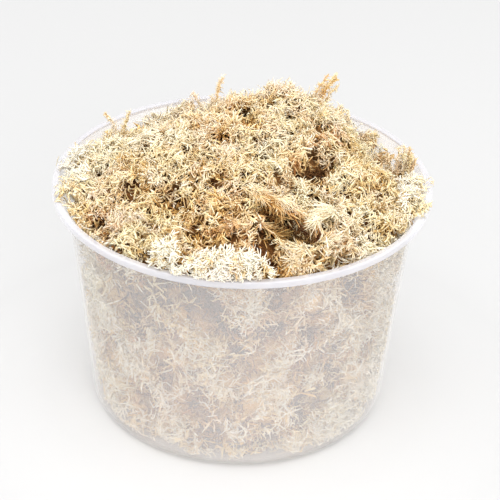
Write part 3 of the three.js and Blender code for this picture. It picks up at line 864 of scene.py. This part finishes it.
# %% Branches on all of them
ON_HEAP, ON_WALL = "heap", "wall"
SPRIGS_AT = 4  # which of the growths below is the sprigs
WHITE_SPILL = 0.3
GROWTH = [
    # where, stems, branch, paler by, and how the branches grow: see grow_branches
    (ON_HEAP, heap_layer(-4.6, 9, 30), STUB, 0,
     dict(whorl_gap=1.8, per_whorl=4, size=8, width=1.5, rise=0.5, head=0, opening=1, curl=1)),
    (ON_HEAP, heap_layer(-2.6, 9.5, 26), BENT, 0,
     dict(whorl_gap=1.9, per_whorl=4, size=7, width=1.1, rise=0.35, head=3, opening=1, curl=1)),
    (ON_HEAP, heap_layer(-1.2, 8.6, 22), BENT, 0,
     dict(whorl_gap=1.2, per_whorl=4, size=6, width=0.85, rise=0.4, head=4, opening=1, curl=1.1)),
    (ON_HEAP, heap_layer(-0.2, 13, 26), CURLED, 0.03,
     dict(whorl_gap=2.0, per_whorl=2, size=9, width=0.6, rise=0.5, head=3, opening=1, curl=1.2)),
    (ON_HEAP, sprig_stems(), CURLED, 0.02,
     dict(whorl_gap=0.62, per_whorl=4, size=4.2, width=0.66, rise=1, head=6, opening=0.8, curl=1)),
    (ON_HEAP, lock_stems(), CURLED, 0.2,
     dict(whorl_gap=1.0, per_whorl=1, size=9, width=0.65, rise=0.3, head=0, opening=0.4, curl=0.4)),
    (ON_HEAP, spilling_stems(), CURLED, WHITE_SPILL,
     dict(whorl_gap=1.4, per_whorl=4, size=6, width=0.85, rise=0.35, head=6, opening=1.1, curl=1.1)),
    (ON_WALL, wall_layer(-3.6, 12.5, 36), STUB, 0,
     dict(whorl_gap=2.1, per_whorl=4, size=10, width=1.8, rise=0.4, head=0, opening=1, curl=1)),
    (ON_WALL, wall_layer(-1.4, 15, 34), BENT, 0,
     dict(whorl_gap=2.75, per_whorl=3, size=11.5, width=1.15, rise=0.25, head=3, opening=0.9, curl=1.2)),
    (ON_WALL, wall_layer(0.2, 14.5, 34), CURLED, 0,
     dict(whorl_gap=3.1, per_whorl=3, size=11, width=0.75, rise=0.25, head=3, opening=0.8, curl=1.4)),
]
growths = []
for where, stems, template, paler, habit in GROWTH:
    twigs = grow_branches(stems, **habit)
    twigs["paler"] = np.full(len(twigs["stem"]), paler)
    twigs["wad"] = stems["wad"][twigs["stem"]]
    twigs["points"] = bent_copies(template, twigs)
    growths.append((where, twigs, stems, template))
print(sum(len(twigs["stem"]) for _, twigs, _, _ in growths), "branches,",
      sum(len(twigs["stem"]) * len(template[1]) for _, twigs, _, template in growths), "triangles")

# %% Keep the pits open
STRAY = 0.15  # the share of branches that reach across a pit all the same
TALLEST = 8.5  # no branch of the heap's layers stands this high over the frame's moss


def open_pits(where, twigs):
    """Leave out the branches that would bridge a pit of the heap or a hollow behind the wall."""
    x, y, z = np.moveaxis(twigs["points"], -1, 0)
    if where == ON_HEAP:
        across, along_it, level, pits = x, y, z - sample(heap, x, y), HEAP_PITS
    else:
        across, along_it, level = np.arctan2(y, x) * SIDE_RADIUS, z, np.hypot(x, y) - inner_wall(z)
        pits = [(math.radians((degrees + 180) % 360 - 180) * SIDE_RADIUS, *rest)
                for degrees, *rest in WALL_PITS]
    bridging = np.zeros(x.shape, bool)
    for px, py, radius, depth in pits:
        inside = (across - px) ** 2 + (along_it - py) ** 2 < radius ** 2
        bridging |= inside & (level > -0.5 * depth)
    keep = ~bridging.any(1) | (rng.uniform(0, 1, len(x)) < STRAY)
    return {name: values[keep] for name, values in twigs.items()}


def without_spikes(where, twigs):
    """Leave out the few branches that would stand up like sticks, out of the heap or behind the wall."""
    x, y, z = np.moveaxis(twigs["points"], -1, 0)
    over = z - sample(heap, x, y) - TALLEST if where == ON_HEAP else z - TUB_HEIGHT
    low = over.max(1) < 0
    return {name: values[low] for name, values in twigs.items()}


for index, (where, twigs, stems, template) in enumerate(growths):
    if where == ON_WALL or index < SPRIGS_AT:
        before = len(twigs["stem"])
        twigs = without_spikes(where, twigs)
        print(where, "spikes left out:", before - len(twigs["stem"]), "of", before)
    if template is not STUB and (where == ON_WALL or index < SPRIGS_AT):
        twigs = open_pits(where, twigs)
    growths[index] = (where, twigs, stems, template)
print("branches on the heap:", sum(len(twigs["stem"]) for where, twigs, _, _ in growths if where == ON_HEAP))

# %% [markdown]
# ### Keep the moss in the tub
#
# A branch may rest against the wall, but not pass through it, and it lies over the lip only where the
# moss spills. Moving single points back would squash a branch flat, so every branch is moved whole:
# inwards by as far as it reaches out, or up where it lies on the lip.

# %% Clear the tub
ON_LIP = TUB_HEIGHT + 0.3
BY_THE_LIP = 0.6  # branches within this of the mouth's edge have to go over the lip
HIGHEST_LIFT = 5
# Where moss may lie on the lip: degrees round, and half the width in degrees
SPILLS = [(middle, half + 4) for middle, half, _, _ in OVER_LIP]


def mouth_reach(points):
    """The largest radius that a branch may have, by its height."""
    return inner_wall(np.clip(points[..., 2], FLOOR, TUB_HEIGHT)) - GAP


def clear_of_tub(points, may_spill):
    """The branches' points, every branch moved as one until it is clear of the wall and the base."""
    points = points.copy()
    centre = points.mean(1)
    out = unit(centre * (1, 1, 0))
    degrees = np.degrees(np.arctan2(centre[:, 1], centre[:, 0]))
    spills = np.zeros(len(points), bool)
    for middle, half in SPILLS:
        spills |= np.abs((degrees - middle + 180) % 360 - 180) < half
    r = np.hypot(points[..., 0], points[..., 1])
    to_lift = np.where(r > MOUTH - BY_THE_LIP, ON_LIP - points[..., 2], 0).max(1)
    lifted = spills & may_spill & (to_lift < HIGHEST_LIFT) & (centre[:, 2] > TUB_HEIGHT - 2)
    points[lifted, :, 2] += np.maximum(to_lift[lifted], 0)[:, None]
    for _ in range(3):
        r = np.hypot(points[..., 0], points[..., 1])
        limit = np.where(lifted[:, None], RIM_RADIUS + 1, mouth_reach(points))
        over = np.maximum((r - limit).max(1), 0)
        points -= (out * over[:, None])[:, None]
    points[..., 2] += np.maximum(FLOOR + 0.2 - points[..., 2].min(1), 0)[:, None]
    return points


for where, twigs, _, _ in growths:
    twigs["points"] = clear_of_tub(twigs["points"], where == ON_HEAP)

# %% [markdown]
# ### How pale each branch is
#
# Four things set a branch's colour. Tips are paler than roots. What lies under other branches is painted
# darker and more golden, which is painted shade, and what lies on top is painted paler, which is painted
# light.
# Down a pit and in a hollow behind the wall the moss is painted darker still, painted shade. And tufts
# differ: some are ivory, some straw, some rusty or still faintly green. They are written as two numbers at
# each point, tone from dark to pale and warmth from green to rust, and the material turns the numbers into
# colours. How deep a point lies could be read from the frame's wads, but they are too coarse, so it is
# measured down from the highest branch in a small cell around it.

# %% How deep every point lies under its neighbours
CELL = 1.4
DEEPEST = 7


def below_neighbours(levels, rows, columns):
    """How far every point lies under the mean of the highest ones in the nine cells at and round it."""
    i, j = (np.floor(line / CELL).astype(int) for line in (rows, columns))
    i, j = i - i.min(), j - j.min()
    top = np.full((i.max() + 1, j.max() + 1), levels.min())
    np.maximum.at(top, (i, j), levels)
    top = windows(top, 3).mean(axis=(2, 3))
    return np.clip(top[i, j] - levels, 0, DEEPEST)


def cover(where, clouds):
    """The depth below the neighbours for clouds of points over the heap or against the wall."""
    x, y, z = np.concatenate([points.reshape(-1, 3) for points in clouds]).T
    if where == ON_HEAP:
        depth = below_neighbours(z - sample(heap, x, y), x, y)
    else:
        depth = below_neighbours(np.hypot(x, y) - inner_wall(z), np.arctan2(y, x) * SIDE_RADIUS, z)
    ends = np.cumsum([points.shape[0] * points.shape[1] for points in clouds])
    return [part.reshape(points.shape[:2]) for part, points in zip(np.split(depth, ends[:-1]), clouds)]


for where in (ON_HEAP, ON_WALL):
    # the sprigs stand free, and nothing counts as covered by them
    lying = [twigs for index, (place, twigs, _, _) in enumerate(growths)
             if place == where and index != SPRIGS_AT]
    depths = cover(where, [twigs["points"] for twigs in lying])
    for twigs, depth in zip(lying, depths):
        twigs["cover"] = depth
    all_depths = np.concatenate([depth.ravel() for depth in depths])
    print(where, "cover:", np.round(np.percentile(all_depths, [10, 50, 90]), 1), "mm")
sprigs = growths[SPRIGS_AT][1]
sprigs["cover"] = np.zeros(sprigs["points"].shape[:2])

# %% Tone and warmth
# Tufts that stand out: x, y, spread, paler by, warmer by
HEAP_PATCHES = [
    (-65, -8, 14, 0.12, -0.1), (-86, -10, 8, 0.1, -0.1), (-36, -83, 6, 0.1, -0.1), (-6, -92, 8, 0.1, -0.1),
    (67, -30, 13, 0.1, -0.15), (58, -48, 12, 0.1, -0.15), (88, -25, 8, 0.1, -0.1), (54, -72, 7, 0.06, 0),
    (-58, -49, 7, -0.05, 0.5), (-65, -57, 6, -0.05, 0.5), (-69, -17, 5, -0.1, 0.6), (2, 4, 7, -0.12, 0.4),
    (38, 6, 8, -0.08, 0.5), (36, -16, 8, -0.1, 0.1), (-38, -9, 7, -0.08, 0.3), (42, -60, 7, 0.04, 0.3),
    (-14, -64, 15, -0.17, 0.1), (58, -70, 6, -0.06, 0.1), (22, -62, 7, -0.08, -0.3), (3, -22, 9, 0.06, -0.2),
    (-33, -45, 11, -0.12, 0.15), (0, 40, 26, 0.04, 0.35), (80, 20, 8, -0.15, 0.6), (-20, 10, 10, -0.04, 0.2),
    (14, -80, 7, -0.08, -0.2),
]
# The tones that the tufts differ from, on the heap and against the wall. The wall's is higher: painted
# light, for the light that the wall holds back.
HEAP_TONE, PAINTED_LIGHT_WALL_TONE = 0.94, 1.07
# The tones of the material's colours. Only the spill and the side reach past the last but one, the side by
# painted light.
STEPS = [0.0, 0.25, 0.45, 0.62, 0.8, 0.93, 1.0]
PALEST_PAINTED_BESIDE = 0.98
# painted light on the top of the moss, and painted shade under the neighbouring branches
PAINTED_TOP_LIGHT = 0.1  # how much paler the top is
PAINTED_SHADE_PER_MM = 0.05  # and how much of that is lost with each millimetre of cover
TIP_PALER = 0.14  # how much paler a tip is than a root
# moss farther off the wall than this gets painted shade
BESIDE_WALL = 2  # moss this close to the wall is lit like the rest
DEEPEST_HOLLOW = 10
# Painted shade: how much darker each millimetre down a pit makes the moss, and each squared millimetre, on
# the heap and behind the wall
PIT_SHADE, HOLLOW_SHADE = (0.025, 0.0055), (0.045, 0.009)


def tuft_tone(stems, base, patches):
    """The tone and the warmth of each stem: those of its tuft, and a little of its own."""
    middle = stems["points"][:, STEM_POINTS // 2]
    tone = base + 0.14 * drift(middle, 16, 31) + rng.normal(0, 0.05, len(middle))
    warm = 0.15 + 0.35 * drift(middle, 20, 33) + rng.normal(0, 0.2, len(middle))
    for x, y, spread, paler, warmer in patches:
        near = hill((middle[:, 0] - x) ** 2 + (middle[:, 1] - y) ** 2, spread)
        tone += paler * near
        warm += warmer * near
    return tone, warm


def painted_pit_shade(sunk, where):
    """Painted shade: how much darker moss in a pit is. In a hollow behind the wall it is painted darker
    still.
    """
    linear, square = PIT_SHADE if where == ON_HEAP else HOLLOW_SHADE
    return linear * sunk + square * sunk ** 2


def colour_branches(where, twigs, stems, template, base, patches):
    """Give the tone and the warmth of every point of the branches."""
    tone, warm = tuft_tone(stems, base, patches)
    tone, warm = tone[twigs["stem"]], warm[twigs["stem"]]
    n = len(tone)
    start = twigs["start"]
    tone = tone + twigs["paler"] + 0.1 * drift(start, 5, 35) + rng.normal(0, 0.05, n)
    if where == ON_HEAP:
        sunk = pit_depth(start[:, 0], start[:, 1])
    else:
        off_wall = inner_wall(start[:, 2]) - np.hypot(start[:, 0], start[:, 1])
        sunk = np.clip(off_wall - BESIDE_WALL, 0, DEEPEST_HOLLOW)
    # painted shade down the pits and in the hollows behind the wall
    tone = tone - painted_pit_shade(sunk, where)
    warm = warm + 0.5 * drift(start, 6, 36) + rng.normal(0, 0.12, n)
    to_tip = template[0][:, 2] - 0.45
    # painted light: the moss behind the wall may be paler than that on the heap
    palest = PALEST_PAINTED_BESIDE if where == ON_WALL else STEPS[-2]
    palest = np.where(twigs["paler"] == WHITE_SPILL, 1, palest)[:, None]
    # painted shade: darker and more golden under the neighbouring branches, and painted light on the top
    tone = tone[:, None] + TIP_PALER * to_tip + PAINTED_TOP_LIGHT - PAINTED_SHADE_PER_MM * twigs["cover"]
    twigs["tone"] = np.clip(tone, 0, palest)
    twigs["warm"] = np.clip(np.repeat(warm[:, None], len(to_tip), 1), -1, 1)


for where, twigs, stems, template in growths:
    if where == ON_HEAP:
        colour_branches(where, twigs, stems, template, HEAP_TONE, HEAP_PATCHES)
    else:
        colour_branches(where, twigs, stems, template, PAINTED_LIGHT_WALL_TONE, [])
    print(where, "tone, low, middle and high:", np.round(np.percentile(twigs["tone"], [5, 50, 95]), 2))

# %% [markdown]
# ## The matted core
#
# Under the loose stems the wad is a dense brown mat, which is what shows at the bottom of a pit. There it is
# nearly black-brown: partly the mat's own brown, partly painted shade. Each core starts as a copy of the
# frame's own wad. Its outer side is pressed in below the stems, a voxel remesh turns it into one clean
# lump, and a decimate keeps it light.

# %% Core of a wad
CORE_DEPTH = 8
CORE_DEPTH_BESIDE = 6
CORE_VOXEL = 0.0032
CORE_FACES = 560
CORE_LUMPS = 0.9


def pressed_in(points):
    """The points, moved in until they lie below the stems of the heap and behind those of the wall."""
    x, y, z = points.T
    r = np.hypot(x, y)
    floor_of_pits, _ = on_heap(x, y, np.zeros_like(x))
    z = np.minimum(z, np.minimum(sample(heap, x, y), floor_of_pits[:, 2]) - CORE_DEPTH)
    wall, _ = on_wall(np.arctan2(y, x) * SIDE_RADIUS, z, np.zeros_like(x))
    limit = np.hypot(wall[:, 0], wall[:, 1]) - CORE_DEPTH_BESIDE
    shrink = np.minimum(1, limit / np.maximum(r, 1e-6))
    return np.stack([x * shrink, y * shrink, np.maximum(z, FLOOR + 0.5)], -1)


def make_core(name):
    """The points and triangles of a wad's core."""
    bpy.ops.object.select_all(action="DESELECT")
    core = bpy.data.objects.new("core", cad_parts[name].data.copy())
    bpy.context.scene.collection.objects.link(core)
    core.select_set(True)
    bpy.context.view_layer.objects.active = core
    bpy.ops.object.mode_set(mode="EDIT")
    bpy.ops.mesh.select_all(action="SELECT")
    bpy.ops.mesh.remove_doubles(threshold=0.00001)
    bpy.ops.object.mode_set(mode="OBJECT")
    points = np.array([v.co for v in core.data.vertices]) / MM
    core.data.vertices.foreach_set("co", (pressed_in(points) * MM).ravel())
    remesh = core.modifiers.new("one lump", "REMESH")
    remesh.mode = "VOXEL"
    remesh.voxel_size = CORE_VOXEL
    bpy.ops.object.modifier_apply(modifier=remesh.name)
    thin = core.modifiers.new("light", "DECIMATE")
    thin.ratio = min(1, CORE_FACES / max(1, 2 * len(core.data.polygons)))
    bpy.ops.object.modifier_apply(modifier=thin.name)
    bpy.ops.object.mode_set(mode="EDIT")
    bpy.ops.mesh.select_all(action="SELECT")
    bpy.ops.mesh.quads_convert_to_tris()
    bpy.ops.object.mode_set(mode="OBJECT")
    points = np.array([v.co for v in core.data.vertices]) / MM
    triangles = np.array([p.vertices for p in core.data.polygons])
    mesh = core.data
    bpy.data.objects.remove(core)
    bpy.data.meshes.remove(mesh)
    lumps = drift(points, 6, 41) * CORE_LUMPS
    return points + lumps[:, None] * unit(points - points.mean(0)), triangles


cores = {name: make_core(name) for name in moss_nodes}
print("cores:", sum(len(t) for _, t in cores.values()), "triangles")

# %% [markdown]
# ## Dry moss, as a material
#
# Dry sphagnum leaves are dead cells full of air, so the moss is matt and very pale where it has bleached.
# A ramp turns the tone into brown, ochre, straw and ivory, a second one gives the same steps in rust, and
# a third in olive. Warmth mixes them. The leaves are scales of about half a millimetre, which a fine
# noise draws as flecks and relief.

# %% Moss material
# The plain colours of the four kinds of moss, and the rust and the green that all of them turn to
PLAIN = {
    "moss_straw": ["#44270E", "#A06C32", "#D4A358", "#ECC47E", "#F6DAA0", "#FBE9BE", "#FFFBEE"],
    "moss_cream": ["#5C3C1C", "#AE804A", "#DAB474", "#F0D6A2", "#F8E5BA", "#FCF0D0", "#FFFCF2"],
    "moss_tan": ["#4C2C12", "#9C6A36", "#CE9C58", "#EAC384", "#F5D8A2", "#FBE7BE", "#FFFBEE"],
    "moss_olive": ["#4E3214", "#9C7440", "#D2AA62", "#EACC8E", "#F5DFAA", "#FAECC2", "#FFFCEE"],
}
RUST = ["#55290F", "#A0602C", "#D09458", "#E8BC8A", "#F3D4AE", "#F9E6CC", "#FFFAF0"]
GREEN = ["#4C3C18", "#94804A", "#C6B47A", "#E4D6A8", "#F2E6BE", "#F9F0CC", "#FFFCEE"]
FLECKS = 0.4  # the range of tone in the flecks


def moss_material(name, plain):
    material, tree = new_material(name)
    place = add_node(tree, "ShaderNodeTexCoord")
    tone = add_node(tree, "ShaderNodeAttribute", {"attribute_name": "tone"})
    warm = add_node(tree, "ShaderNodeAttribute", {"attribute_name": "warm"})
    flecks = add_node(tree, "ShaderNodeTexNoise", inputs={
        "Vector": place.outputs["Object"], "Scale": 1100, "Detail": 2, "Roughness": 0.6})
    shift = add_node(tree, "ShaderNodeMath", {"operation": "MULTIPLY_ADD"}, {
        0: flecks.outputs["Fac"], 1: FLECKS, 2: tone.outputs["Fac"]})
    level = add_node(tree, "ShaderNodeMath", {"operation": "SUBTRACT"}, {0: shift.outputs[0], 1: FLECKS / 2})
    ramps = {}
    for hue, colours in (("plain", plain), ("rust", RUST), ("green", GREEN)):
        ramp = add_node(tree, "ShaderNodeValToRGB", inputs={"Fac": level.outputs[0]})
        fill_ramp(ramp.color_ramp, list(zip(STEPS, colours)))
        ramps[hue] = ramp.outputs["Color"]
    rusty = add_node(tree, "ShaderNodeMapRange", inputs={
        "Value": warm.outputs["Fac"], "From Min": 0.1, "From Max": 0.9})
    greenish = add_node(tree, "ShaderNodeMapRange", inputs={
        "Value": warm.outputs["Fac"], "From Min": -0.1, "From Max": -0.9})
    colour = ramps["plain"]
    for amount, other in ((rusty, ramps["rust"]), (greenish, ramps["green"])):
        blend = add_node(tree, "ShaderNodeMix", {"data_type": "RGBA"}, {
            "Factor": amount.outputs["Result"], 6: colour, 7: other})
        colour = blend.outputs[2]
    scales = add_node(tree, "ShaderNodeBump", inputs={
        "Height": flecks.outputs["Fac"], "Strength": 0.35, "Distance": 0.0003})
    end_material(tree, {
        "Base Color": colour, "Roughness": 0.85, "Specular IOR Level": 0.25,
        "Normal": scales.outputs["Normal"]})
    return material


materials = {slot: moss_material(f"dried sphagnum, {slot.split('_')[1]}", plain)
             for slot, plain in PLAIN.items()}
print(len(materials), "moss materials")

# %% [markdown]
# ## Put each wad together
#
# A wad is its core and the branches of its stems, in one mesh. The mesh is built from arrays, because
# tens of thousands of copies made one by one would take minutes. Each branch gets a small square of the
# wad's UV map to itself, so that a texture baked from it keeps every branch apart.

# %% Build the wads
# the core in the pits: the mat's own brown and painted shade
CORE_TONE = 0.05
CORE_TONE_BESIDE = 0.6
# Where the core shows behind the wall: from this radius on, over this distance, and below this height
SIDE_FROM, SIDE_BLEND, SIDE_BELOW = 56, 8, TUB_HEIGHT - 12
CORE_WARM = 0.15
CORE_STRIP = 0.06  # the part of the UV map that the core takes
SQUARE_EDGE = 0.1  # the empty edge of a branch's square of the map


def branch_squares(count, template):
    """UV of every branch: along it in one direction, round it in the other, in its own square of the map."""
    points, triangles = template
    side = math.ceil(math.sqrt(count))
    turn = np.arctan2(points[:, 1], points[:, 0]) / (2 * math.pi) + 0.5
    u, v = points[:, 2][triangles], turn[triangles]
    v = np.where(v.max(1, keepdims=True) - v > 0.5, v + 1, v) / 1.5
    square = SQUARE_EDGE + (1 - 2 * SQUARE_EDGE) * np.stack([u, v], -1)
    column, row = np.arange(count) % side, np.arange(count) // side
    corner = np.stack([column, row], -1) / side
    uv = corner[:, None, None] + square / side
    uv[..., 1] = CORE_STRIP + (1 - CORE_STRIP) * uv[..., 1]
    return uv


def core_tone_with_shade(points):
    """Dark brown at the bottom of a pit, partly painted shade; behind the wall as pale as the stems, with
    painted shade in the hollows.
    """
    r = np.hypot(points[:, 0], points[:, 1])
    behind_wall = np.clip((r - SIDE_FROM) / SIDE_BLEND, 0, 1) * (points[:, 2] < SIDE_BELOW)
    off_wall = inner_wall(points[:, 2]) - r
    # painted shade: darker in the hollows behind the wall
    beside = CORE_TONE_BESIDE - 0.05 * np.clip(off_wall - CORE_DEPTH, 0, 9)
    return mix(CORE_TONE, beside, behind_wall) + 0.12 * drift(points, 4, 42)


def parts_of(wad):
    """The points, triangles, UVs, tones and warmths of the core and of each growth's branches in a wad."""
    core_points, core_triangles = cores[moss_nodes[wad]]
    spread = (core_points - core_points.min(0)) / np.ptp(core_points, axis=0)
    core_uv = np.stack([spread[:, 0] * 0.98 + 0.01, spread[:, 1] * (CORE_STRIP - 0.02) + 0.005], -1)
    yield (core_points, core_triangles, core_uv[core_triangles].reshape(-1, 2),
           core_tone_with_shade(core_points), np.full(len(core_points), CORE_WARM))
    mine = [(twigs, template, np.flatnonzero(twigs["wad"] == wad)) for _, twigs, _, template in growths]
    total = sum(len(which) for _, _, which in mine)
    used = 0
    for twigs, template, which in mine:
        if not len(which):
            continue
        points, triangles = template
        faces = np.arange(len(which))[:, None, None] * len(points) + triangles
        uv = branch_squares(total, template)[used:used + len(which)]
        used += len(which)
        yield (twigs["points"][which].reshape(-1, 3), faces.reshape(-1, 3), uv.reshape(-1, 2),
               twigs["tone"][which].ravel(), twigs["warm"][which].ravel())


def build_wad(wad):
    """One object from all the parts of a wad."""
    points, triangles, uvs, tones, warms = [], [], [], [], []
    first = 0
    for part_points, part_triangles, uv, tone, warm in parts_of(wad):
        points.append(part_points)
        triangles.append(part_triangles + first)
        uvs.append(uv)
        tones.append(tone)
        warms.append(warm)
        first += len(part_points)
    points, triangles = np.concatenate(points), np.concatenate(triangles)
    mesh = bpy.data.meshes.new(moss_nodes[wad].replace("moss", "wad"))
    mesh.vertices.add(len(points))
    mesh.vertices.foreach_set("co", (points * MM).astype(np.float32).ravel())
    mesh.loops.add(triangles.size)
    mesh.loops.foreach_set("vertex_index", triangles.astype(np.int32).ravel())
    mesh.polygons.add(len(triangles))
    mesh.polygons.foreach_set("loop_start", np.arange(0, triangles.size, 3, dtype=np.int32))
    mesh.polygons.foreach_set("use_smooth", np.ones(len(triangles), bool))
    mesh.update(calc_edges=True)
    for name, values in (("tone", tones), ("warm", warms)):
        mesh.attributes.new(name, "FLOAT", "POINT").data.foreach_set(
            "value", np.concatenate(values).astype(np.float32))
    mesh.uv_layers.new(name="OFBake").data.foreach_set("uv", np.concatenate(uvs).astype(np.float32).ravel())
    piece = bpy.data.objects.new(mesh.name, mesh)
    bpy.context.scene.collection.objects.link(piece)
    return piece


slot_of = {}
for name in moss_nodes:
    cad_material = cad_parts[name].data.materials[0].name
    slot_of[name] = next(slot for slot in PLAIN if slot in cad_material)
total = 0
for wad, name in enumerate(moss_nodes):
    piece = build_wad(wad)
    piece.data.materials.append(materials[slot_of[name]])
    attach(piece, "root")
    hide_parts(name)
    total += len(piece.data.polygons)
print("wads:", len(moss_nodes), "pieces,", total, "triangles")
